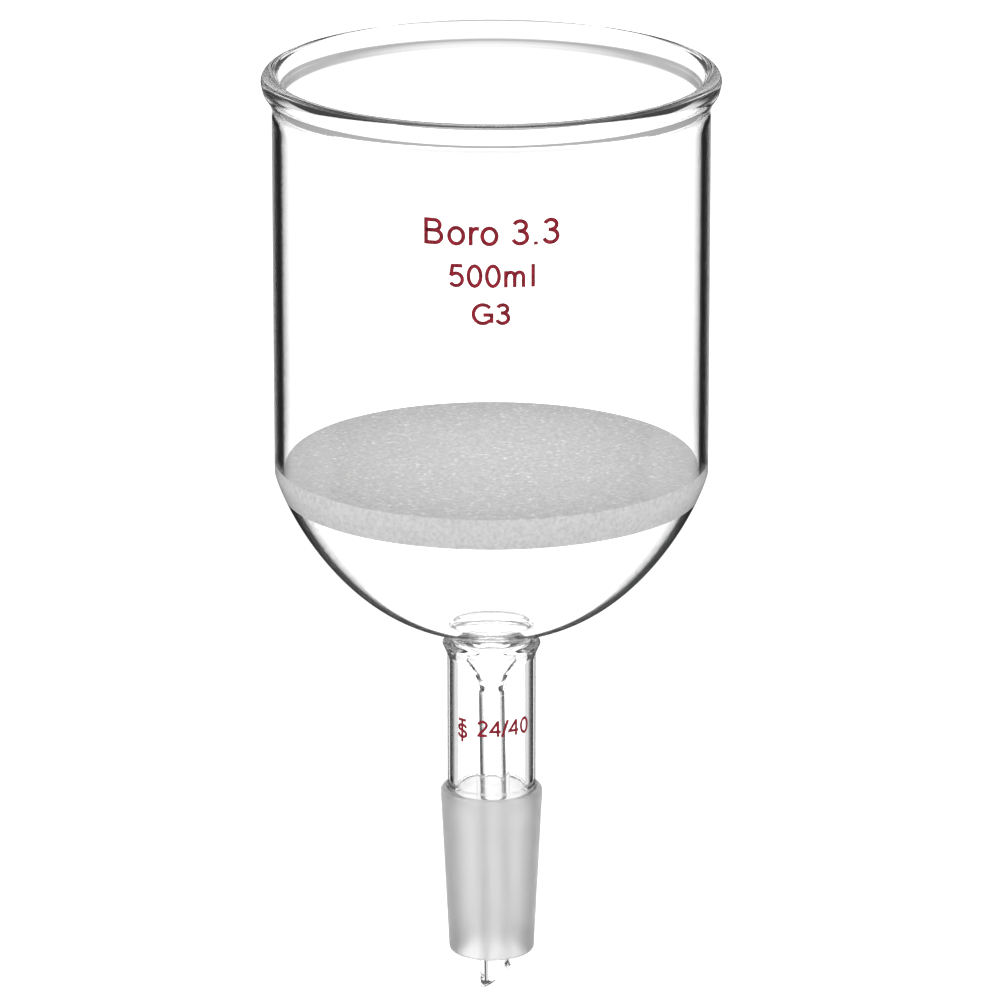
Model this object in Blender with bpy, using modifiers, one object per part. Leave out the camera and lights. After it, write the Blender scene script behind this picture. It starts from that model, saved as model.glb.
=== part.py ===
"""Buchner funnel with a sintered disc: a 500 ml glass bowl on a 24/40 ground joint.

Lengths are in metres, +Z is up. Every piece is turned about the Z axis. The origin lies on that
axis at the large end of the ground joint, the level at which the funnel seats in a flask.
"""
import math

import bpy

OBJECT_NAME = "buchner_funnel"
GAP = 0.0003                  # clearance that neighbouring pieces keep
LARGE_STEPS = 56              # facets around the bowl, the disc and the dome
SMALL_STEPS = 40              # facets around the neck, the joint and the drip tube

# Bowl: straight tubing, drawn in below the knee and carried on by the dome
BOWL_RADIUS = 0.0504
BOWL_WALL = 0.0022
POLE_THINNING = 0.62          # the wall's thickness at the pole, as a share of BOWL_WALL
KNEE_Z = 0.0785               # the straight wall starts to turn in here
POLE_Z = 0.0388               # lowest point of the dome's outer surface, were it closed
SHELL_SIDE_POWER = 1.23       # how soon the wall leaves the vertical below the knee
SHELL_BASE_POWER = 2.4        # how flat the dome is at its pole
SEAM_Z = 0.0730               # bowl above, dome below
SHELL_STEPS = 3               # rows of facets between the knee and the seam
DOME_STEPS = 10               # rows of facets down the dome

# Rolled bead at the mouth
RIM_TOP = 0.1731
RIM_MID = 0.1710              # level of the bead's widest point
RIM_RADIUS = 0.0528
RIM_LAND_RADIUS = 0.0504      # middle of the flat land on top of the bead
RIM_LAND = 0.0008
RIM_UNDERSIDE = [             # from the widest point down to the wall
    (0.05265, 0.1699), (0.05235, 0.1688), (0.0518, 0.1679), (0.0513, 0.1670), (0.0508, 0.1660),
    (BOWL_RADIUS, 0.1648),
]
LIP_DEPTH = 0.0045            # the bore starts to flare this far below the crest
BEAD_STEPS = 4                # facets over each quarter of the bead

# Sintered disc
DISC_TOP = 0.0806
DISC_CHAMFER = 0.0004

# Ground joint: standard taper 24/40, a fall in diameter of 1 in 10
JOINT_RADIUS = 0.012
JOINT_LENGTH = 0.040
JOINT_TAPER = 0.1
JOINT_WALL = 0.0022
JOINT_EDGE = 0.0009           # rounding of the lower outer edge
EDGE_STEPS = 3
SHOULDER = 0.0012             # height of the shoulder between the tube and the taper
THROAT_DEPTH = 0.0045         # length over which the joint's inside widens below the shoulder

# Clear tube above the joint
TUBE_RADIUS = 0.01035
TUBE_WALL = 0.0024
TUBE_TOP = 0.0326

# Ring seal between the tube and the dome
RING_HEAD_RADIUS = 0.0104     # where its outside meets the dome
RING_HEAD_BORE = 0.0089       # where its inside meets the dome
RING_OUTSIDE = [              # from the dome down to the tube, widest in the middle
    (0.0100, 0.0379), (0.0106, 0.0369), (0.0112, 0.03635), (0.01147, 0.0359), (0.0112, 0.0352),
    (0.0108, 0.0343), (0.0105, 0.0335),
]
RING_ROOF = [(0.00795, 0.0351), (0.0078, 0.0362)]    # from the tube's bore up to the cone

# Drain: a thin cone under the dome, then the thick-walled drip tube
DRAIN_HOLE_RADIUS = 0.0089    # hole in the dome
CONE_MOUTH_RADIUS = 0.0080    # bore at the level of the dome's inside
CONE_LIP = 0.0003             # chamfer inside the upper edge
CONE_FOOT = 0.0240
CONE_OUTSIDE = [              # from the dome down to the drip tube, narrowest just above its seal
    (0.00745, 0.0363), (0.0064, 0.0353), (0.0057, 0.0338), (0.0053, 0.0323), (0.0050, 0.0310),
    (0.0044, 0.0295), (0.0039, 0.0282), (0.0034, 0.0270), (0.0032, 0.0262), (0.0038, 0.0251),
]
CONE_BORE = [                 # from the drip tube up to the dome
    (0.0022, 0.0262), (0.0027, 0.0274), (0.0033, 0.0287), (0.0040, 0.0302), (0.0045, 0.0318),
    (0.0050, 0.0335), (0.0056, 0.0352), (0.0065, 0.0370), (0.0076, 0.0388),
]
DRIP_RADIUS = 0.0039
DRIP_BORE = 0.0020
DRIP_LEAN = math.radians(1)   # the tube is sealed on a little out of true, towards +X
TIP_Z = -0.0503               # lowest point of the obliquely cut tip
TIP_RISE = 0.0066             # how much higher the opposite side of the tip ends
CUTTER_SIDE = 0.024


def arc(centre, radii, start, end, count):
    """Points on an ellipse in the (radius, height) plane, from one angle in degrees to another."""
    angles = [math.radians(start + (end - start) * i / count) for i in range(count + 1)]
    return [
        (centre[0] + radii[0] * math.cos(a), centre[1] + radii[1] * math.sin(a)) for a in angles
    ]


def shell_depth(inset):
    """From the knee down to the pole of the shell that lies this far inside the outer one."""
    return KNEE_Z - POLE_Z - inset * POLE_THINNING


def shell_point(phi, inset):
    """A point on the rounded shell below the knee: phi runs from 0 at the knee to pi/2 at the pole."""
    radius = (BOWL_RADIUS - inset) * math.cos(phi) ** (2 / SHELL_BASE_POWER)
    fall = shell_depth(inset) * math.sin(phi) ** (2 / SHELL_SIDE_POWER)
    return radius, KNEE_Z - fall


def shell_phi_at_height(z, inset):
    share = (KNEE_Z - z) / shell_depth(inset)
    return math.asin(share ** (SHELL_SIDE_POWER / 2))


def shell_phi_at_radius(radius, inset):
    share = radius / (BOWL_RADIUS - inset)
    return math.acos(share ** (SHELL_BASE_POWER / 2))


def shell_arc(start, end, inset, count):
    return [shell_point(start + (end - start) * i / count, inset) for i in range(count + 1)]


def glass(name, roughness):
    material = bpy.data.materials.new(name)
    material.use_nodes = True
    shader = material.node_tree.nodes["Principled BSDF"]
    shader.inputs["Base Color"].default_value = (0.97, 0.98, 0.975, 1)
    shader.inputs["Roughness"].default_value = roughness
    shader.inputs["Metallic"].default_value = 0
    shader.inputs["Transmission Weight"].default_value = 1
    shader.inputs["IOR"].default_value = 1.474
    return material


def frit(name):
    material = bpy.data.materials.new(name)
    material.use_nodes = True
    shader = material.node_tree.nodes["Principled BSDF"]
    shader.inputs["Base Color"].default_value = (0.80, 0.80, 0.79, 1)
    shader.inputs["Roughness"].default_value = 0.9
    shader.inputs["Metallic"].default_value = 0
    return material


def turned(name, outline, closed, steps, material):
    """Turns an outline in the XZ plane about Z. It starts at the top and runs down the outer side."""
    count = len(outline)
    edges = [(i, i + 1) for i in range(count - 1)]
    if closed:
        edges.append((count - 1, 0))
    mesh = bpy.data.meshes.new(name)
    mesh.from_pydata([(radius, 0, z) for radius, z in outline], edges, [])
    mesh.materials.append(material)
    piece = bpy.data.objects.new(name, mesh)
    pieces.objects.link(piece)
    piece.parent = frame
    screw = piece.modifiers.new("Turn", "SCREW")
    screw.axis = "Z"
    screw.angle = 2 * math.pi
    screw.steps = steps
    screw.render_steps = steps
    screw.use_merge_vertices = True
    screw.merge_threshold = 0.00001
    screw.use_smooth_shade = True
    return piece


def make_bowl():
    outer_arc = (RIM_LAND_RADIUS + RIM_LAND / 2, RIM_MID)
    inner_arc = (RIM_LAND_RADIUS - RIM_LAND / 2, RIM_TOP - LIP_DEPTH)
    inner_radius = BOWL_RADIUS - BOWL_WALL
    outline = arc(outer_arc, (RIM_RADIUS - outer_arc[0], RIM_TOP - RIM_MID), 90, 0, BEAD_STEPS)
    outline += RIM_UNDERSIDE
    outline += shell_arc(0, shell_phi_at_height(SEAM_Z, 0), 0, SHELL_STEPS)
    outline += shell_arc(shell_phi_at_height(SEAM_Z, BOWL_WALL), 0, BOWL_WALL, SHELL_STEPS)
    outline += arc(inner_arc, (inner_arc[0] - inner_radius, LIP_DEPTH), 180, 90, BEAD_STEPS)
    turned("bowl", outline, True, LARGE_STEPS, clear_glass)


def make_sintered_disc():
    inset = BOWL_WALL + GAP
    rim = BOWL_RADIUS - inset
    side = shell_arc(0, shell_phi_at_height(SEAM_Z + GAP, inset), inset, SHELL_STEPS)
    outline = [(0, DISC_TOP), (rim - DISC_CHAMFER, DISC_TOP), (rim, DISC_TOP - DISC_CHAMFER)]
    outline += side + [(0, SEAM_Z + GAP)]
    turned("sintered_disc", outline, False, LARGE_STEPS, sintered_glass)


def make_dome():
    seam = SEAM_Z - GAP
    outer = shell_arc(
        shell_phi_at_height(seam, 0), shell_phi_at_radius(DRAIN_HOLE_RADIUS, 0), 0, DOME_STEPS
    )
    inner = shell_arc(
        shell_phi_at_radius(DRAIN_HOLE_RADIUS, BOWL_WALL),
        shell_phi_at_height(seam, BOWL_WALL),
        BOWL_WALL,
        DOME_STEPS,
    )
    turned("dome", outer + inner, True, LARGE_STEPS, clear_glass)


def dome_underside(radius):
    """The level just clear of the dome, a gap below its outer surface."""
    return shell_point(shell_phi_at_radius(radius, 0), 0)[1] - GAP


def make_throat_cone():
    collar_radius = DRAIN_HOLE_RADIUS - GAP
    collar_top = shell_point(shell_phi_at_radius(collar_radius, BOWL_WALL), BOWL_WALL)[1]
    outline = [(collar_radius, collar_top), (collar_radius, dome_underside(collar_radius) + GAP)]
    outline += CONE_OUTSIDE
    outline += [(DRIP_RADIUS, CONE_FOOT), (DRIP_BORE, CONE_FOOT)]
    outline += CONE_BORE
    outline += [
        (CONE_MOUTH_RADIUS, collar_top - CONE_LIP),
        (CONE_MOUTH_RADIUS + CONE_LIP, collar_top),
    ]
    turned("throat_cone", outline, True, SMALL_STEPS, clear_glass)


def make_drip_tube():
    top = CONE_FOOT - GAP
    length = top - TIP_Z + 2 * DRIP_RADIUS
    outline = [(DRIP_RADIUS, 0), (DRIP_RADIUS, -length), (DRIP_BORE, -length), (DRIP_BORE, 0)]
    tube = turned("drip_tube", outline, True, SMALL_STEPS, clear_glass)
    tube.location = (0, 0, top)
    tube.rotation_euler = (0, -DRIP_LEAN, 0)

    # The tip is cut off along a plane that rises from the -X side to the +X side
    side = CUTTER_SIDE
    slope = math.atan2(TIP_RISE, 2 * DRIP_RADIUS)
    middle_z = TIP_Z + TIP_RISE / 2
    middle_x = (top - middle_z) * math.tan(DRIP_LEAN)
    bpy.ops.mesh.primitive_cube_add(size=side)
    cutter = bpy.context.object
    cutter.name = "tip_cutter"
    cutter.location = (
        middle_x + math.sin(slope) * side / 2,
        0,
        middle_z - math.cos(slope) * side / 2,
    )
    cutter.rotation_euler = (0, -slope, 0)
    cutter.hide_render = True
    cutter.display_type = "WIRE"
    for collection in list(cutter.users_collection):
        collection.objects.unlink(cutter)
    cutters.objects.link(cutter)
    cut = tube.modifiers.new("Oblique tip", "BOOLEAN")
    cut.operation = "DIFFERENCE"
    cut.solver = "EXACT"
    cut.object = cutter


def make_neck_ring():
    foot = TUBE_TOP + GAP
    outline = [(RING_HEAD_RADIUS, dome_underside(RING_HEAD_RADIUS))]
    outline += RING_OUTSIDE
    outline += [(TUBE_RADIUS, foot), (TUBE_RADIUS - TUBE_WALL, foot)]
    outline += RING_ROOF
    outline.append((RING_HEAD_BORE, dome_underside(RING_HEAD_BORE)))
    turned("neck_ring", outline, True, SMALL_STEPS, clear_glass)


def make_joint_tube():
    foot = SHOULDER + GAP
    bore = TUBE_RADIUS - TUBE_WALL
    outline = [(TUBE_RADIUS, TUBE_TOP), (TUBE_RADIUS, foot), (bore, foot), (bore, TUBE_TOP)]
    turned("joint_tube", outline, True, SMALL_STEPS, clear_glass)


def joint_outer_radius(z):
    return JOINT_RADIUS + z * JOINT_TAPER / 2


def make_ground_joint():
    end = -JOINT_LENGTH
    edge_radius = joint_outer_radius(end) - JOINT_EDGE
    outline = [(TUBE_RADIUS, SHOULDER), (joint_outer_radius(0), 0)]
    outline += arc((edge_radius, end + JOINT_EDGE), (JOINT_EDGE, JOINT_EDGE), 0, -90, EDGE_STEPS)
    outline += [
        (joint_outer_radius(end) - JOINT_WALL, end),
        (joint_outer_radius(-THROAT_DEPTH) - JOINT_WALL, -THROAT_DEPTH),
        (TUBE_RADIUS - TUBE_WALL, SHOULDER),
    ]
    turned("ground_joint", outline, True, SMALL_STEPS, ground_glass)


for old in list(bpy.data.objects):
    bpy.data.objects.remove(old, do_unlink=True)

pieces = bpy.data.collections.new(OBJECT_NAME)
cutters = bpy.data.collections.new(OBJECT_NAME + "_cutters")
bpy.context.scene.collection.children.link(pieces)
bpy.context.scene.collection.children.link(cutters)

frame = bpy.data.objects.new(OBJECT_NAME + "_frame", None)
pieces.objects.link(frame)

clear_glass = glass("clear_glass", 0.0)
ground_glass = glass("ground_glass", 0.5)
sintered_glass = frit("sintered_glass")

make_bowl()
make_sintered_disc()
make_dome()
make_throat_cone()
make_drip_tube()
make_neck_ring()
make_joint_tube()
make_ground_joint()
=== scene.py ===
"""Looks of the buchner funnel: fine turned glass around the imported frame, in metres, +Z up."""
import math

import bmesh
import bpy
from mathutils import Matrix, Vector


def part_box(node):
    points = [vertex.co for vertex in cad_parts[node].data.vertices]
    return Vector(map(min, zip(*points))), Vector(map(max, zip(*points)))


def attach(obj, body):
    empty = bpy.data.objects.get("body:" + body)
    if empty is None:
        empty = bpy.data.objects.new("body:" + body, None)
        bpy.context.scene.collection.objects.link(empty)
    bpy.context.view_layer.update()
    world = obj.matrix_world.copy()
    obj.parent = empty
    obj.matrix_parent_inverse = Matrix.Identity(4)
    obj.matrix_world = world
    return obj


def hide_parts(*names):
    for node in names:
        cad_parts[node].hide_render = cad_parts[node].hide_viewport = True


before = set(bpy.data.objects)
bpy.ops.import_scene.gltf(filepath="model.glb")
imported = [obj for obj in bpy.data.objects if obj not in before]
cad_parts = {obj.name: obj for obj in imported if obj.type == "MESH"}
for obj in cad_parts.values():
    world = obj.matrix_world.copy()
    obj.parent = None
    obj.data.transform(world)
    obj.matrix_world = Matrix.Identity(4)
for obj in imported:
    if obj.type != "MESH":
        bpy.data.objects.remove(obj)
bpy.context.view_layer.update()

# ---------------------------------------------------------------- dimensions
# Bowl and dome: straight tubing above the knee, a rounded shell below it
BOWL_RADIUS = 0.0504
BOWL_WALL = 0.0022
POLE_THINNING = 0.62          # the wall's thickness at the pole, as a share of BOWL_WALL
KNEE_Z = 0.0785               # the straight wall starts to turn in here
POLE_Z = 0.0388               # lowest point of the dome's outer surface, were it closed
SHELL_SIDE_POWER = 1.23       # how soon the wall leaves the vertical below the knee
SHELL_BASE_POWER = 2.4        # how flat the dome is at its pole

# Rolled bead at the mouth
RIM_RADIUS = 0.0528
RIM_RISE = 0.0021             # from the bead's widest point up to its crest
RIM_CREST = 0.0504            # radius of the crest
RIM_UNDERSIDE = [             # from below the widest point down to just above the bead's foot
    (0.05265, 0.1699), (0.05235, 0.1688), (0.0518, 0.1679), (0.0513, 0.1670), (0.0508, 0.1660),
    (0.0505, 0.1650),
]
RIM_FOOT = 0.0086             # from the crest down to where the bead runs into the wall
LIP_DEPTH = 0.0045            # the bowl's lining starts to flare this far below the crest

DISC_GAP = 0.00002            # keeps the disc's skin off the glass around it

# Clear tube above the joint
TUBE_RADIUS = 0.01035
TUBE_WALL = 0.0024
TUBE_BORE = TUBE_RADIUS - TUBE_WALL

# Ring seal between the tube and the dome
RING_HEAD = 0.0104            # radius at which its outside meets the dome
RING_CREST = (0.00745, 0.0361)               # its inside meets the cone's outside here
RING_OUTSIDE = [              # from the dome down to the tube, widest in the middle
    (0.0100, 0.0379), (0.0106, 0.0369), (0.0112, 0.03635), (0.01147, 0.0359), (0.0112, 0.0352),
    (0.0108, 0.0343), (0.0105, 0.0335),
]
RING_INSIDE = [(TUBE_BORE, 0.0350), (0.0078, 0.0358), RING_CREST]

# Drain: a thin cone under the dome, then the thick-walled drip tube
DRAIN_RADIUS = 0.0089         # hole in the dome
DRAIN_TOP = (DRAIN_RADIUS, 0.0401)
DRAIN_LIP = (0.0105, 0.0408)  # the dome's inside is rounded over towards the drain
DRAIN_LIP_END = (0.0125, 0.0135)             # radii between which that rounding runs out
DRIP_RADIUS = 0.0039
DRIP_BORE = 0.0020
DRIP_LEAN = math.radians(1)   # the tube is sealed on a little out of true, towards +X
DRIP_EDGE = 0.0008            # fire-polished rounding of the tip
TIP_RISE = 0.0066             # how much higher the +X side of the tip ends
CONE_OUTSIDE = [              # from the ring down to the drip tube, narrowest above its seal
    RING_CREST, (0.0064, 0.0353), (0.0057, 0.0338), (0.0053, 0.0323), (0.0050, 0.0310),
    (0.0044, 0.0295), (0.0039, 0.0282), (0.0034, 0.0270), (0.0032, 0.0262), (0.00345, 0.0256),
    (0.0038, 0.0251), (DRIP_RADIUS, 0.0246),
]
CONE_BORE = [                 # from the drip tube up to the dome
    (DRIP_BORE, 0.0250), (0.0022, 0.0262), (0.0027, 0.0274), (0.0033, 0.0287), (0.0040, 0.0302),
    (0.0045, 0.0318), (0.0050, 0.0335), (0.0056, 0.0352), (0.0065, 0.0370), (0.0076, 0.0387),
    DRAIN_TOP,
]

# Ground joint: standard taper 24/40, a fall in diameter of 1 in 10
JOINT_RADIUS = 0.012
JOINT_TAPER = 0.1
JOINT_WALL = 0.0022
JOINT_EDGE = 0.0009           # rounding of the lower outer edge
JOINT_LIP = 0.0004            # rounding of the lower inner edge
SHOULDER = [(0.0105, 0.00075), (0.0109, 0.00055)]    # from the tube out to the ground band
BAND_EDGE = (0.0116, 0.0003)  # the ground band's rounded upper edge
BAND_TOP = -0.0004            # the taper is straight below this level
JOINT_BORE_LEVELS = (-0.030, -0.012, -0.0045)        # here the bore runs parallel to the taper
PAINTED_SHADE_LEVELS = (-0.040, -0.030)               # painted shade: the ground band is darker towards its lower end

WIDE_STEPS = 288              # facets around the bowl, the disc and the dome
SLIM_STEPS = 160              # facets around the neck, the joint and the drip tube
CREASE = math.radians(40)     # edges sharper than this stay sharp
TOUCHING = 1e-9               # points closer than this are one point

GLASS_IOR = 1.474             # borosilicate


def low(node):
    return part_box(node)[0].z


def high(node):
    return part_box(node)[1].z


def seam(upper, lower):
    """The level at which two neighbours are fused, midway in the clearance between their solids."""
    return (low(upper) + high(lower)) / 2


RIM_TOP = high("bowl")
BOWL_SEAM = seam("bowl", "dome")
DISC_TOP = high("sintered_disc")
DISC_FOOT = low("sintered_disc")
CONE_FOOT = seam("throat_cone", "drip_tube")
RING_FOOT = seam("neck_ring", "joint_tube")
TUBE_FOOT = seam("joint_tube", "ground_joint")
JOINT_FOOT = low("ground_joint")
TIP_Z = low("drip_tube")


# ---------------------------------------------------------------- outlines
def arc(centre, radii, start, end, count):
    """Points on an ellipse in the (radius, height) plane, from one angle in degrees to another."""
    angles = [math.radians(start + (end - start) * i / count) for i in range(count + 1)]
    return [
        (centre[0] + radii[0] * math.cos(a), centre[1] + radii[1] * math.sin(a)) for a in angles
    ]


def line(start, end, count):
    return [
        (start[0] + (end[0] - start[0]) * i / count, start[1] + (end[1] - start[1]) * i / count)
        for i in range(count + 1)
    ]


def smooth(points, count):
    """A Catmull-Rom curve through a few points, with count steps between neighbours."""
    ends = [2 * Vector(points[0]) - Vector(points[1]), 2 * Vector(points[-1]) - Vector(points[-2])]
    p = [ends[0]] + [Vector(q) for q in points] + [ends[1]]
    out = []
    for i in range(1, len(p) - 2):
        for k in range(count):
            t = k / count
            a = 2 * p[i]
            b = p[i + 1] - p[i - 1]
            c = 2 * p[i - 1] - 5 * p[i] + 4 * p[i + 1] - p[i + 2]
            d = 3 * p[i] - p[i - 1] - 3 * p[i + 1] + p[i + 2]
            out.append(tuple((a + b * t + c * t * t + d * t * t * t) / 2))
    return out + [tuple(p[-2])]


def shell_depth(inset):
    """From the knee down to the pole of the shell that lies this far inside the outer one."""
    return KNEE_Z - POLE_Z - inset * POLE_THINNING


def shell_point(phi, inset):
    """A point on the rounded shell below the knee: phi is 0 at the knee and pi/2 at the pole."""
    radius = (BOWL_RADIUS - inset) * math.cos(phi) ** (2 / SHELL_BASE_POWER)
    fall = shell_depth(inset) * math.sin(phi) ** (2 / SHELL_SIDE_POWER)
    return radius, KNEE_Z - fall


def shell_phi_at_height(z, inset):
    share = (KNEE_Z - z) / shell_depth(inset)
    return math.asin(share ** (SHELL_SIDE_POWER / 2))


def shell_phi_at_radius(radius, inset):
    return math.acos((radius / (BOWL_RADIUS - inset)) ** (SHELL_BASE_POWER / 2))


def shell_arc(start, end, inset, count):
    return [shell_point(start + (end - start) * i / count, inset) for i in range(count + 1)]


def under_dome(radius):
    """The point of the dome's outer surface at this radius."""
    return shell_point(shell_phi_at_radius(radius, 0), 0)


def in_dome(radius):
    """The point of the dome's inner surface at this radius."""
    return shell_point(shell_phi_at_radius(radius, BOWL_WALL), BOWL_WALL)


def joint_outer_radius(z):
    return JOINT_RADIUS + z * JOINT_TAPER / 2


def joint_bore_point(z, level):
    """A point inside the joint's wall, which is JOINT_WALL thick at height z, set at this level."""
    return joint_outer_radius(z) - JOINT_WALL, level


# ---------------------------------------------------------------- turning
def turned(name, runs, steps, shape=None):
    """Turns an outline about Z. runs are (material, points) from the top down the outer side and
    back up the inner side; each run starts at the point where the last one ended."""
    materials, rings, kinds = [], [], []
    for material, points in runs:
        if material not in materials:
            materials.append(material)
        fresh = points if not rings else points[1:]
        kinds += [materials.index(material)] * (len(points) - 1)
        rings += fresh
    closed = (Vector(rings[0]) - Vector(rings[-1])).length < TOUCHING
    if closed:
        rings.pop()
    bm = bmesh.new()
    rows = []
    for radius, z in rings:
        if radius < TOUCHING:
            rows.append([bm.verts.new((0, 0, z))] * steps)
            continue
        angles = [2 * math.pi * i / steps for i in range(steps)]
        rows.append([bm.verts.new((radius * math.cos(a), radius * math.sin(a), z)) for a in angles])
    if closed:
        rows.append(rows[0])
    for above, below, kind in zip(rows, rows[1:], kinds):
        for i in range(steps):
            j = (i + 1) % steps
            corners = []
            for vert in (above[i], below[i], below[j], above[j]):
                if vert not in corners:
                    corners.append(vert)
            face = bm.faces.new(corners)
            face.material_index = kind
            face.smooth = True
    if shape:
        for vert in bm.verts:
            vert.co = shape(vert.co)
    mesh = bpy.data.meshes.new(name)
    bm.to_mesh(mesh)
    bm.free()
    for material in materials:
        mesh.materials.append(material)
    mesh.set_sharp_from_angle(angle=CREASE)
    piece = bpy.data.objects.new(name, mesh)
    bpy.context.scene.collection.objects.link(piece)
    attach(piece, "root")
    return piece


# ---------------------------------------------------------------- materials
def shader_of(name):
    material = bpy.data.materials.new(name)
    material.use_nodes = True
    return material, material.node_tree.nodes, material.node_tree.links


def grains(nodes, links, place, scale, detail):
    """A noise pattern, from 0 to 1."""
    pattern = nodes.new("ShaderNodeTexNoise")
    pattern.inputs["Scale"].default_value = scale
    pattern.inputs["Detail"].default_value = detail
    links.new(place, pattern.inputs["Vector"])
    return pattern.outputs["Fac"]


def colours(nodes, links, value, stops):
    """Turns a value into a colour; stops are (value, (red, green, blue)) in rising order."""
    ramp = nodes.new("ShaderNodeValToRGB")
    ends = ramp.color_ramp.elements
    for end, (position, colour) in ((ends[0], stops[0]), (ends[1], stops[-1])):
        end.position = position
        end.color = (*colour, 1)
    for position, colour in stops[1:-1]:
        ramp.color_ramp.elements.new(position).color = (*colour, 1)
    links.new(value, ramp.inputs["Fac"])
    return ramp.outputs["Color"]


def roughen(nodes, links, pattern, strength, distance):
    """Gives the material's surface a relief that follows a pattern."""
    bump = nodes.new("ShaderNodeBump")
    bump.inputs["Strength"].default_value = strength
    bump.inputs["Distance"].default_value = distance
    links.new(pattern, bump.inputs["Height"])
    links.new(bump.outputs["Normal"], nodes["Principled BSDF"].inputs["Normal"])


def make_clear_glass():
    material, nodes, _ = shader_of("clear_glass")
    glass = nodes["Principled BSDF"]
    glass.inputs["Base Color"].default_value = (0.99, 0.99, 0.99, 1)
    glass.inputs["Roughness"].default_value = 0
    glass.inputs["IOR"].default_value = GLASS_IOR
    glass.inputs["Transmission Weight"].default_value = 1
    return material


def make_seam():
    """Inside a fused seam there is no surface: light goes straight on."""
    material, nodes, links = shader_of("fused_seam")
    nodes.remove(nodes["Principled BSDF"])
    through = nodes.new("ShaderNodeBsdfTransparent")
    links.new(through.outputs[0], nodes["Material Output"].inputs["Surface"])
    return material


def make_ground_glass():
    """Frosted by grinding. Its grey is painted shade, darker towards the lower end; the streaks
    down the taper are partly grinding marks and partly painted refraction; the paleness where the
    surface is seen edge on is a painted sheen.
    """
    material, nodes, links = shader_of("ground_glass")
    glass = nodes["Principled BSDF"]
    glass.inputs["Roughness"].default_value = 0.55
    glass.inputs["IOR"].default_value = GLASS_IOR
    glass.inputs["Transmission Weight"].default_value = 0.8
    place = nodes.new("ShaderNodeTexCoord").outputs["Object"]
    # Streaks down the taper: partly grinding marks, partly painted refraction of the surroundings
    stretch = nodes.new("ShaderNodeMapping")
    stretch.inputs["Scale"].default_value = (1, 1, 0.04)
    links.new(place, stretch.inputs["Vector"])
    streaks = grains(nodes, links, stretch.outputs["Vector"], 420, 3)
    split = nodes.new("ShaderNodeSeparateXYZ")
    links.new(place, split.inputs[0])
    # Painted shade: the frosted glass's grey, darker towards the lower end of the band
    painted_shade = nodes.new("ShaderNodeMapRange")
    painted_shade.inputs["From Min"].default_value = PAINTED_SHADE_LEVELS[0]
    painted_shade.inputs["From Max"].default_value = PAINTED_SHADE_LEVELS[1]
    painted_shade.inputs["To Min"].default_value = 0.36
    painted_shade.inputs["To Max"].default_value = 0.54
    links.new(split.outputs["Z"], painted_shade.inputs["Value"])

    def scaled_sum(value, factor, addend):
        node = nodes.new("ShaderNodeMath")
        node.operation = "MULTIPLY_ADD"
        node.inputs[1].default_value = factor
        links.new(value, node.inputs[0])
        links.new(addend, node.inputs[2])
        return node.outputs[0]

    # Painted sheen: the colour is paler where the surface is seen edge on
    facing = nodes.new("ShaderNodeLayerWeight")
    edge = nodes.new("ShaderNodeMath")
    edge.operation = "POWER"
    edge.inputs[1].default_value = 2
    links.new(facing.outputs["Facing"], edge.inputs[0])
    tone = scaled_sum(streaks, 0.12, painted_shade.outputs["Result"])
    links.new(scaled_sum(edge.outputs[0], 0.55, tone), glass.inputs["Base Color"])
    roughen(nodes, links, grains(nodes, links, place, 6000, 2), 0.25, 0.00005)
    return material


def make_sintered_glass(name, body, painted_glint, relief):
    """Glass grains baked together: fine speckle and a rough skin. body is the grey of the grains;
    the lighter grey after it is that of a few specks painted brighter as glints of light."""
    material, nodes, links = shader_of(name)
    frit = nodes["Principled BSDF"]
    frit.inputs["Roughness"].default_value = 0.85
    frit.inputs["Specular IOR Level"].default_value = 0.2
    place = nodes.new("ShaderNodeTexCoord").outputs["Object"]
    # The lightest stop paints a few specks as glints of light
    greys = [(0.3, body - 0.09), (0.5, body), (0.64, body + 0.05), (0.70, painted_glint)]
    stops = [(position, (grey, grey, grey)) for position, grey in greys]
    speckle = colours(nodes, links, grains(nodes, links, place, 1100, 4), stops)
    links.new(speckle, frit.inputs["Base Color"])
    roughen(nodes, links, grains(nodes, links, place, 1400, 2), relief, 0.0002)
    return material


def make_enamel():
    """Baked enamel: a little gloss, and a colour that is uneven where the ink lies thinner."""
    material, nodes, links = shader_of("red_enamel")
    enamel = nodes["Principled BSDF"]
    enamel.inputs["Roughness"].default_value = 0.45
    enamel.inputs["Specular IOR Level"].default_value = 0.15
    place = nodes.new("ShaderNodeTexCoord").outputs["Object"]
    cloud = grains(nodes, links, place, 1500, 3)
    reds = [(0.35, (0.12, 0.004, 0.010)), (0.65, (0.25, 0.008, 0.022))]
    links.new(colours(nodes, links, cloud, reds), enamel.inputs["Base Color"])
    roughen(nodes, links, cloud, 0.2, 0.00003)
    return material


clear = make_clear_glass()
fused = make_seam()
ground = make_ground_glass()
enamel = make_enamel()
sintered = make_sintered_glass("sintered_glass", 0.55, 0.85, 0.35)
# The disc's side: the same frit in a lighter grey, painted light
lit_sintered_side = make_sintered_glass("sintered_glass_side_painted_lighter", 0.66, 0.72, 0.1)


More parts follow.
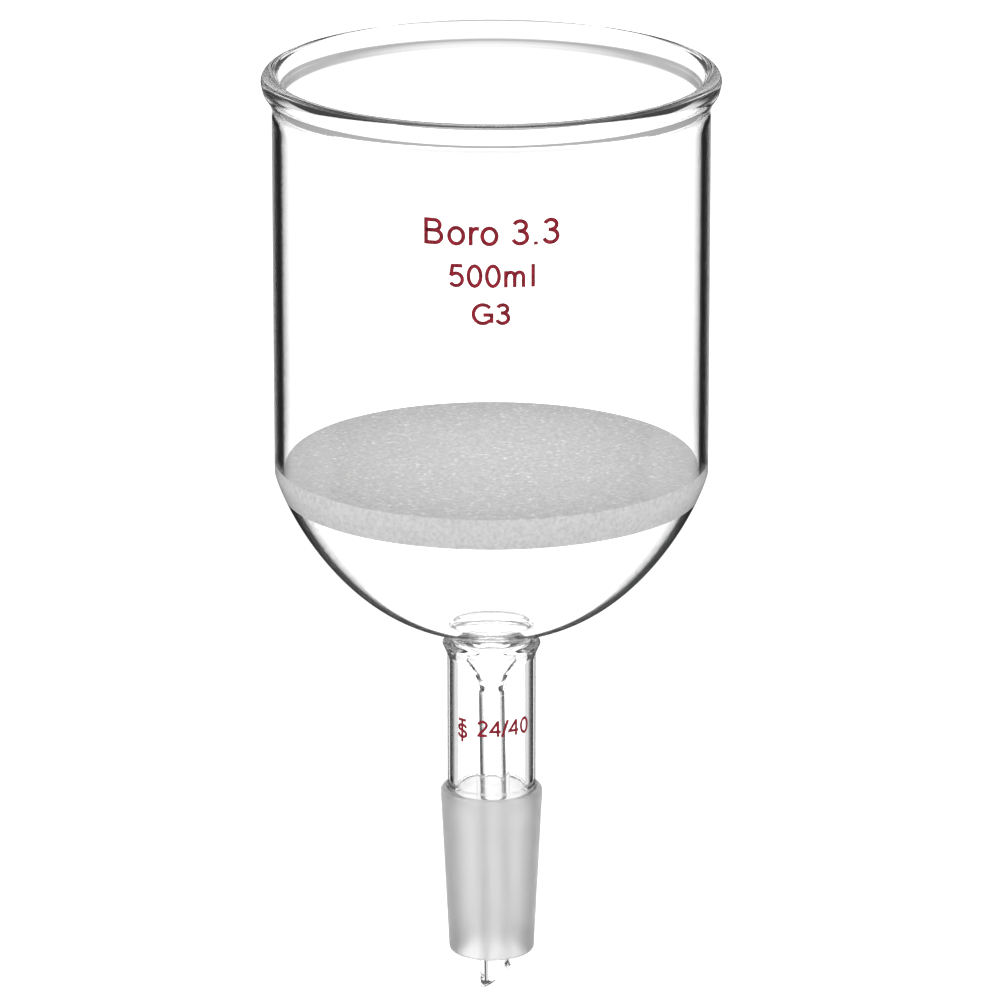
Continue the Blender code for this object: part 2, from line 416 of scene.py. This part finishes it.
# ---------------------------------------------------------------- pieces
def make_bowl():
    inner = BOWL_RADIUS - BOWL_WALL
    mid = RIM_TOP - RIM_RISE
    foot = RIM_TOP - RIM_FOOT
    crest = arc((RIM_CREST, mid), (RIM_RADIUS - RIM_CREST, RIM_RISE), 90, 0, 16)
    underside = smooth([crest[-1]] + RIM_UNDERSIDE + [(BOWL_RADIUS, foot)], 8)
    wall = line((BOWL_RADIUS, foot), (BOWL_RADIUS, KNEE_Z), 40)
    turn = shell_arc(0, shell_phi_at_height(BOWL_SEAM, 0), 0, 12)
    outer = crest + underside[1:] + wall[1:] + turn[1:]
    seam_phi = shell_phi_at_height(BOWL_SEAM, BOWL_WALL)
    disc_phi = shell_phi_at_height(DISC_FOOT, BOWL_WALL)
    seam_face = [outer[-1], shell_point(seam_phi, BOWL_WALL)]
    below = shell_arc(seam_phi, disc_phi, BOWL_WALL, 2)
    cradle = shell_arc(disc_phi, 0, BOWL_WALL, 12)
    cradle += [(inner, DISC_TOP)]
    lining = line((inner, DISC_TOP), (inner, RIM_TOP - LIP_DEPTH), 40)
    lip = arc((RIM_CREST, RIM_TOP - LIP_DEPTH), (RIM_CREST - inner, LIP_DEPTH), 180, 90, 20)
    runs = [
        (clear, outer), (fused, seam_face), (clear, below), (fused, cradle),
        (clear, lining + lip[1:]),
    ]
    piece = turned("bowl_glass", runs, WIDE_STEPS)
    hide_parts("bowl")


def make_disc():
    inset = BOWL_WALL + DISC_GAP
    rim = BOWL_RADIUS - BOWL_WALL - DISC_GAP
    side = shell_arc(0, shell_phi_at_height(DISC_FOOT, inset), inset, 12)
    top = line((0, DISC_TOP - DISC_GAP), (rim, DISC_TOP - DISC_GAP), 90)
    foot = line(side[-1], (0, side[-1][1]), 30)
    runs = [(sintered, top), (lit_sintered_side, [top[-1]] + side), (sintered, foot)]
    piece = turned("sintered_glass_disc", runs, WIDE_STEPS)
    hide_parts("sintered_disc")


def make_dome():
    outer = shell_arc(
        shell_phi_at_height(BOWL_SEAM, 0), shell_phi_at_radius(RING_HEAD, 0), 0, 70
    )
    head = [outer[-1], under_dome(DRAIN_RADIUS), DRAIN_TOP]
    inner = smooth([DRAIN_TOP, DRAIN_LIP] + [in_dome(radius) for radius in DRAIN_LIP_END], 8)
    inner += shell_arc(
        shell_phi_at_radius(DRAIN_LIP_END[-1], BOWL_WALL),
        shell_phi_at_height(BOWL_SEAM, BOWL_WALL),
        BOWL_WALL,
        70,
    )[1:]
    runs = [(clear, outer), (fused, head), (clear, inner), (fused, [inner[-1], outer[0]])]
    piece = turned("dome_glass", runs, WIDE_STEPS)
    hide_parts("dome")


def make_throat():
    cone = smooth(CONE_OUTSIDE + [(DRIP_RADIUS, CONE_FOOT)], 6)
    bore = smooth([(DRIP_BORE, CONE_FOOT)] + CONE_BORE, 6)
    collar = [DRAIN_TOP, under_dome(DRAIN_RADIUS), under_dome(RING_CREST[0]), RING_CREST]
    runs = [(fused, collar), (clear, cone), (fused, [cone[-1], bore[0]]), (clear, bore)]
    piece = turned("throat_cone_glass", runs, SLIM_STEPS)
    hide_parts("throat_cone")


def make_drip_tube():
    tip_plane_z = TIP_Z + TIP_RISE / 2
    slope = TIP_RISE / (2 * DRIP_RADIUS)
    length = CONE_FOOT - tip_plane_z
    lean = Matrix.Rotation(-DRIP_LEAN, 3, "Y")

    def cut_and_lean(co):
        share = (CONE_FOOT - co.z) / length
        z = CONE_FOOT - share * (length - slope * co.x)
        return lean @ Vector((co.x, co.y, z - CONE_FOOT)) + Vector((0, 0, CONE_FOOT))

    edge = DRIP_EDGE
    outer = line((DRIP_RADIUS, CONE_FOOT), (DRIP_RADIUS, tip_plane_z + edge), 60)
    end = arc((DRIP_RADIUS - edge, tip_plane_z + edge), (edge, edge), 0, -90, 8)
    end += arc((DRIP_BORE + edge, tip_plane_z + edge), (edge, edge), -90, -180, 8)
    inner = line(end[-1], (DRIP_BORE, CONE_FOOT), 60)
    runs = [(clear, outer + end[1:] + inner[1:]), (fused, [inner[-1], outer[0]])]
    piece = turned("drip_tube_glass", runs, SLIM_STEPS, cut_and_lean)
    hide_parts("drip_tube")


def make_ring():
    head = under_dome(RING_HEAD)
    outer = smooth([head] + RING_OUTSIDE + [(TUBE_RADIUS, RING_FOOT)], 8)
    inner = smooth([(TUBE_BORE, RING_FOOT)] + RING_INSIDE, 8)
    runs = [
        (clear, outer), (fused, [outer[-1], inner[0]]), (clear, inner),
        (fused, [inner[-1], under_dome(RING_CREST[0]), under_dome(DRAIN_RADIUS), head]),
    ]
    piece = turned("neck_ring_glass", runs, SLIM_STEPS)
    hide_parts("neck_ring")


def make_tube():
    outer = line((TUBE_RADIUS, RING_FOOT), (TUBE_RADIUS, TUBE_FOOT), 30)
    inner = line((TUBE_BORE, TUBE_FOOT), (TUBE_BORE, RING_FOOT), 30)
    runs = [
        (clear, outer), (fused, [outer[-1], inner[0]]), (clear, inner),
        (fused, [inner[-1], outer[0]]),
    ]
    piece = turned("joint_tube_glass", runs, SLIM_STEPS)
    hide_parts("joint_tube")


def make_ground_joint():
    shoulder = smooth([(TUBE_RADIUS, TUBE_FOOT)] + SHOULDER, 5)
    corner = smooth([shoulder[-1], BAND_EDGE, (joint_outer_radius(BAND_TOP), BAND_TOP)], 5)
    edge_radius = joint_outer_radius(JOINT_FOOT) - JOINT_EDGE
    side = line(corner[-1], (joint_outer_radius(JOINT_FOOT), JOINT_FOOT + JOINT_EDGE), 60)
    edge = arc((edge_radius, JOINT_FOOT + JOINT_EDGE), (JOINT_EDGE, JOINT_EDGE), 0, -90, 6)
    bore = [edge[-1], joint_bore_point(JOINT_FOOT, JOINT_FOOT + JOINT_LIP)]
    bore += [joint_bore_point(z, z) for z in JOINT_BORE_LEVELS]
    inner = smooth(bore + [(TUBE_BORE, TUBE_FOOT)], 8)
    runs = [
        (clear, shoulder), (ground, corner + side[1:] + edge[1:]), (clear, inner),
        (fused, [inner[-1], shoulder[0]]),
    ]
    piece = turned("ground_joint_glass", runs, SLIM_STEPS)
    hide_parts("ground_joint")


# ---------------------------------------------------------------- print
INK_GAP = 0.00001             # between the glass and the ink
INK_DEPTH = 0.00004
INK_STEP = 0.0003             # longest facet of a stroke
MITRE_LIMIT = 0.5             # keeps the corners of a sharp bend from running out


def bow(centre, radii, start, end):
    return arc(centre, radii, start, end, 20)


# Plain sans-serif figures and letters, as centre lines in units of the cap height. Each glyph is
# (advance, strokes); a stroke is a list of points. T and S together make the sign for a standard
# taper, so T reaches above and below the other letters.
FIVE_BOWL = bow((0.375, 0.335), (0.27, 0.271), 146, -150)
THREE_TOP = bow((0.37, 0.745), (0.23, 0.191), 163, -90)
THREE_BOTTOM = bow((0.37, 0.305), (0.27, 0.241), 90, -163)
TWO_FOOT = smooth([(0.60, 0.60), (0.45, 0.41), (0.25, 0.22), (0.15, 0.064)], 5)
EM_CURVE = [(0.155, 0.42), (0.21, 0.59), (0.345, 0.661), (0.475, 0.61), (0.53, 0.47), (0.53, 0.30)]
R_CURVE = smooth([(0.155, 0.42), (0.22, 0.58), (0.33, 0.65), (0.47, 0.64)], 4)
S_CURVE = smooth(
    [
        (0.80, 0.74), (0.70, 0.89), (0.47, 0.945), (0.24, 0.89), (0.16, 0.75), (0.24, 0.61),
        (0.47, 0.53), (0.70, 0.46), (0.82, 0.29), (0.72, 0.12), (0.47, 0.055), (0.22, 0.12),
        (0.11, 0.31),
    ],
    4,
)
GLYPHS = {
    " ": (0.388, []),
    ".": (0.388, [[(0.19, 0), (0.19, 0.128)]]),
    "/": (0.388, [[(0.02, -0.02), (0.37, 1.02)]]),
    "0": (0.777, [bow((0.388, 0.5), (0.262, 0.442), 0, 360)]),
    "2": (0.777, [bow((0.385, 0.715), (0.25, 0.225), 172, -25) + TWO_FOOT + [(0.66, 0.064)]]),
    "3": (0.777, [THREE_TOP + [(0.28, 0.554)], THREE_BOTTOM]),
    "4": (0.777, [[(0.535, 0), (0.535, 1)], [(0.535, 0.95), (0.09, 0.31), (0.70, 0.31)]]),
    "5": (0.777, [[(0.65, 0.936), (0.225, 0.936), (0.155, 0.485)], FIVE_BOWL]),
    "B": (0.93, [
        [(0.165, 0), (0.165, 0.936), (0.48, 0.936)] + bow((0.48, 0.738), (0.22, 0.198), 90, -90)
        + [(0.165, 0.54)],
        [(0.165, 0.54), (0.50, 0.54)] + bow((0.50, 0.302), (0.26, 0.238), 90, -90)
        + [(0.165, 0.064)],
    ]),
    "G": (1.087, [
        bow((0.55, 0.5), (0.43, 0.442), 40, 312) + [(0.955, 0.17), (0.955, 0.46), (0.57, 0.46)]
    ]),
    "S": (0.93, [S_CURVE]),
    "T": (0.93, [[(0.12, 1.32), (0.80, 1.32)], [(0.46, 1.32), (0.46, -0.32)]]),
    "l": (0.31, [[(0.155, 0), (0.155, 1)]]),
    "m": (1.163, [
        [(0.155, 0), (0.155, 0.725)], smooth(EM_CURVE, 4) + [(0.53, 0)],
        smooth([(x + 0.375, y) for x, y in EM_CURVE], 4) + [(0.905, 0)],
    ]),
    "o": (0.777, [bow((0.388, 0.3625), (0.27, 0.31), 0, 360)]),
    "r": (0.465, [[(0.155, 0), (0.155, 0.725)], R_CURVE]),
}


def finely(points):
    """The same line with points close enough together to bend round the glass."""
    out = [Vector(points[0])]
    for point in points[1:]:
        span = Vector(point) - out[-1]
        if span.length < INK_GAP:
            continue
        count = math.ceil(span.length / INK_STEP)
        base = out[-1].copy()
        out += [base + span * i / count for i in range(1, count + 1)]
    return out


def ink_stroke(bm, points, half, radius):
    """One pen stroke: a flat closed ribbon of even width, laid on the front of a cylinder."""
    closed = (Vector(points[0]) - Vector(points[-1])).length < INK_GAP
    line_points = finely(points)
    if closed:
        line_points.pop()
    count = len(line_points)
    rows = []
    for i, point in enumerate(line_points):
        after = line_points[(i + 1) % count] - point if closed or i < count - 1 else None
        before = point - line_points[i - 1] if closed or i > 0 else None
        first = (before or after).normalized()
        last = (after or before).normalized()
        along = (first + last).normalized()
        across = Vector((-along.y, along.x)) * half / max(along.dot(last), MITRE_LIMIT)
        row = []
        for side, lift in ((1, 0), (1, INK_DEPTH), (-1, INK_DEPTH), (-1, 0)):
            spot = point + across * side
            out = radius + INK_GAP + lift
            angle = spot.x / radius
            row.append(bm.verts.new((out * math.sin(angle), -out * math.cos(angle), spot.y)))
        rows.append(row)
    pairs = list(zip(rows, rows[1:]))
    if closed:
        pairs.append((rows[-1], rows[0]))
    else:
        bm.faces.new(rows[0])
        bm.faces.new(reversed(rows[-1]))
    for one, two in pairs:
        for k in range(4):
            bm.faces.new((one[k - 1], one[k], two[k], two[k - 1]))


def make_print(name, text, radius, cap, stroke_width, base, centre):
    """A line of enamel type on the front of a cylinder, with capitals cap high that stand on the
    level base. Each character starts where the last one ends, but T lies over the one after it."""
    width = sum(GLYPHS[letter][0] for letter in text if letter != "T") * cap
    cursor = centre - width / 2
    bm = bmesh.new()
    for letter in text:
        advance, strokes = GLYPHS[letter]
        for stroke in strokes:
            points = [(cursor + x * cap, base + y * cap) for x, y in stroke]
            ink_stroke(bm, points, stroke_width / 2, radius)
        if letter != "T":
            cursor += advance * cap
    bmesh.ops.recalc_face_normals(bm, faces=bm.faces)
    mesh = bpy.data.meshes.new(name)
    bm.to_mesh(mesh)
    bm.free()
    mesh.materials.append(enamel)
    piece = bpy.data.objects.new(name, mesh)
    bpy.context.scene.collection.objects.link(piece)
    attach(piece, "root")


make_print("print_glass_type", "Boro 3.3", BOWL_RADIUS, 0.0060, 0.00092, 0.1451, 0.0001)
make_print("print_capacity", "500ml", BOWL_RADIUS, 0.0053, 0.00086, 0.1354, 0.0002)
make_print("print_porosity", "G3", BOWL_RADIUS, 0.0049, 0.00086, 0.1268, 0)
make_print("print_taper_mark", "TS", TUBE_RADIUS, 0.0033, 0.00066, 0.0150, -0.0074)
make_print("print_joint_size", "24/40", TUBE_RADIUS, 0.0039, 0.00064, 0.0159, 0.0032)
make_bowl()
make_disc()
make_dome()
make_throat()
make_drip_tube()
make_ring()
make_tube()
make_ground_joint()


# ---------------------------------------------------------------- studio
def degrees(start, end):
    return math.radians(start), math.radians(end)


# Brightness of the tent. What a ray meets depends on how often it has gone through the glass.
WHITE = 2.0                   # bare tent
BENT = 0.5                    # upper half, seen through one wall
BENT_FAR = 1.05               # upper half, seen through more walls
SUNK = 0.5                    # underneath, seen through one wall
PANEL = 1.3                   # upright panel behind, mirrored
TABLE = 1.6                   # low panel behind, mirrored
SIDE = 0.85                   # flanks, mirrored from inside the glass
DARK = 0.015                  # gaps between the panels, mirrored
ROOM = 0.05                   # everything else level with the funnel, mirrored
CEILING = 0.12                # upper half, mirrored
BELOW = 0.1                   # underneath, mirrored
SOFT = 1.75                   # plain light on the matt surfaces
SOFT_FALL = 0.06              # how much of it is lost towards +X, and gained towards -X

# Where one brightness gives way to the next, as bearings from +Y, alike to the left and the right
PANEL_EDGE = degrees(3, 13)
SIDE_START = degrees(27, 48)
FAR_START = degrees(45, 62)   # in place of SIDE_START, for rays that have met the drip tube
SIDE_END = degrees(80, 90)
ROOM_EDGE = degrees(80, 100)
TABLE_SIDE = degrees(26, 32)

# The same as heights above the horizon
BENT_EDGE = degrees(-5.5, 4.5)
SUNK_EDGE = degrees(-60, -45)
CEILING_EDGE = degrees(-5, 5)
PANEL_TOP = degrees(-8, -5)
PANEL_FOOT = degrees(-26, -24)
TABLE_EDGE = degrees(-43, -40)
BELOW_EDGE = degrees(-58, -52)

FLOOR_SIZE = 8
FLOOR_DROP = 0.12             # the floor lies this far below the drip tip

CAMERA_ELEVATION = math.radians(16.83)
CAMERA_DISTANCE = 1.8
CAMERA_TARGET = Vector((0.0021, 0, 0.0704))
CAMERA_LENS = 278.5
CAMERA_SENSOR = 36

BOUNCES = 96                  # light runs along inside the dome's wall for dozens of bounces
CLEAR_BOUNCES = 40            # fused seams that a ray may cross


def make_floor():
    bpy.ops.mesh.primitive_grid_add(
        size=FLOOR_SIZE, x_subdivisions=4, y_subdivisions=4, location=(0, 0, TIP_Z - FLOOR_DROP)
    )
    floor = bpy.context.object
    floor.name = "floor"
    material, nodes, _ = shader_of("pale_floor")
    nodes["Principled BSDF"].inputs["Base Color"].default_value = (0.92, 0.92, 0.92, 1)
    nodes["Principled BSDF"].inputs["Roughness"].default_value = 1
    nodes["Principled BSDF"].inputs["Specular IOR Level"].default_value = 0
    floor.data.materials.append(material)
    floor.visible_transmission = False
    floor.visible_glossy = False


def make_world():
    """A white light tent. A ray that has been mirrored inside or off the glass sees the tent's dark
    corners and ceiling, and every ray that has met a matt surface gets plain soft light."""
    world = bpy.data.worlds.new("studio")
    bpy.context.scene.world = world
    world.use_nodes = True
    nodes, links = world.node_tree.nodes, world.node_tree.links

    def feed(node, slot, value):
        """Sets an input to a number, or links it to another node's output."""
        if isinstance(value, (int, float)):
            node.inputs[slot].default_value = value
        else:
            links.new(value, node.inputs[slot])

    def math_node(operation, *values):
        node = nodes.new("ShaderNodeMath")
        node.operation = operation
        for slot, value in enumerate(values):
            feed(node, slot, value)
        return node.outputs[0]

    def ramp(value, start, end, low_value, high_value):
        node = nodes.new("ShaderNodeMapRange")
        node.interpolation_type = "SMOOTHSTEP"
        for slot, number in enumerate((value, start, end, low_value, high_value)):
            feed(node, slot, number)
        return node.outputs["Result"]

    split = nodes.new("ShaderNodeSeparateXYZ")
    links.new(nodes.new("ShaderNodeTexCoord").outputs["Generated"], split.inputs[0])
    across, away, height = split.outputs
    bearing = math_node("ARCTAN2", math_node("ABSOLUTE", across), away)
    path = nodes.new("ShaderNodeLightPath").outputs

    def off_centre(edge, inside, outside):
        return ramp(bearing, edge[0], edge[1], inside, outside)

    def above(edge, below, over):
        return ramp(height, math.sin(edge[0]), math.sin(edge[1]), below, over)

    def deep(shallow, far):
        """For rays that have gone through more than one wall before they leave the glass."""
        return ramp(path["Transmission Depth"], 2, 4, shallow, far)

    def deepest(near, far):
        """For rays that have gone through three walls, as those that meet the drip tube."""
        return ramp(path["Transmission Depth"], 4, 6, near, far)

    # Mirrored light, from the sides inwards, then from level rays up and down
    room = off_centre(ROOM_EDGE, ROOM, deep(ROOM, WHITE))
    inside = ramp(path["Transmission Depth"], 0, 1, DARK, SIDE)
    flank = off_centre(SIDE_END, inside, room)
    flank = deepest(off_centre(SIDE_START, DARK, flank), off_centre(FAR_START, DARK, flank))
    panel = off_centre(PANEL_EDGE, deep(PANEL, DARK), flank)
    table = off_centre(TABLE_SIDE, deep(TABLE, DARK), room)
    mirrored = above(PANEL_TOP, panel, room)
    mirrored = above(PANEL_FOOT, room, mirrored)
    mirrored = above(CEILING_EDGE, mirrored, deep(CEILING, WHITE))
    mirrored = above(TABLE_EDGE, table, mirrored)
    mirrored = above(BELOW_EDGE, deep(BELOW, WHITE), mirrored)

    # Light seen through the glass, light that comes straight, and light on matt surfaces
    through = above(BENT_EDGE, WHITE, deep(BENT, BENT_FAR))
    through = above(SUNK_EDGE, deep(SUNK, WHITE), through)
    straight = ramp(path["Transmission Depth"], 0, 1, 1.0, through)
    direct = ramp(path["Glossy Depth"], 0, 1, straight, mirrored)
    soft = math_node("MULTIPLY_ADD", across, -SOFT_FALL, SOFT)
    strength = ramp(path["Diffuse Depth"], 0, 1, direct, soft)
    links.new(strength, nodes["Background"].inputs["Strength"])
    nodes["Background"].inputs["Color"].default_value = (1, 1, 1, 1)


def make_camera():
    camera_data = bpy.data.cameras.new("camera")
    camera_data.sensor_width = CAMERA_SENSOR
    camera_data.lens = CAMERA_LENS
    camera = bpy.data.objects.new("camera", camera_data)
    back = Vector((0, -math.cos(CAMERA_ELEVATION), math.sin(CAMERA_ELEVATION)))
    camera.location = CAMERA_TARGET + back * CAMERA_DISTANCE
    camera.rotation_euler = (-back).to_track_quat("-Z", "Y").to_euler()
    bpy.context.scene.collection.objects.link(camera)
    bpy.context.scene.camera = camera


make_floor()
make_world()
make_camera()

scene = bpy.context.scene
scene.view_settings.view_transform = "Standard"
scene.cycles.max_bounces = BOUNCES
scene.cycles.transmission_bounces = BOUNCES
scene.cycles.glossy_bounces = BOUNCES
scene.cycles.transparent_max_bounces = CLEAR_BOUNCES
scene.cycles.use_denoising = True
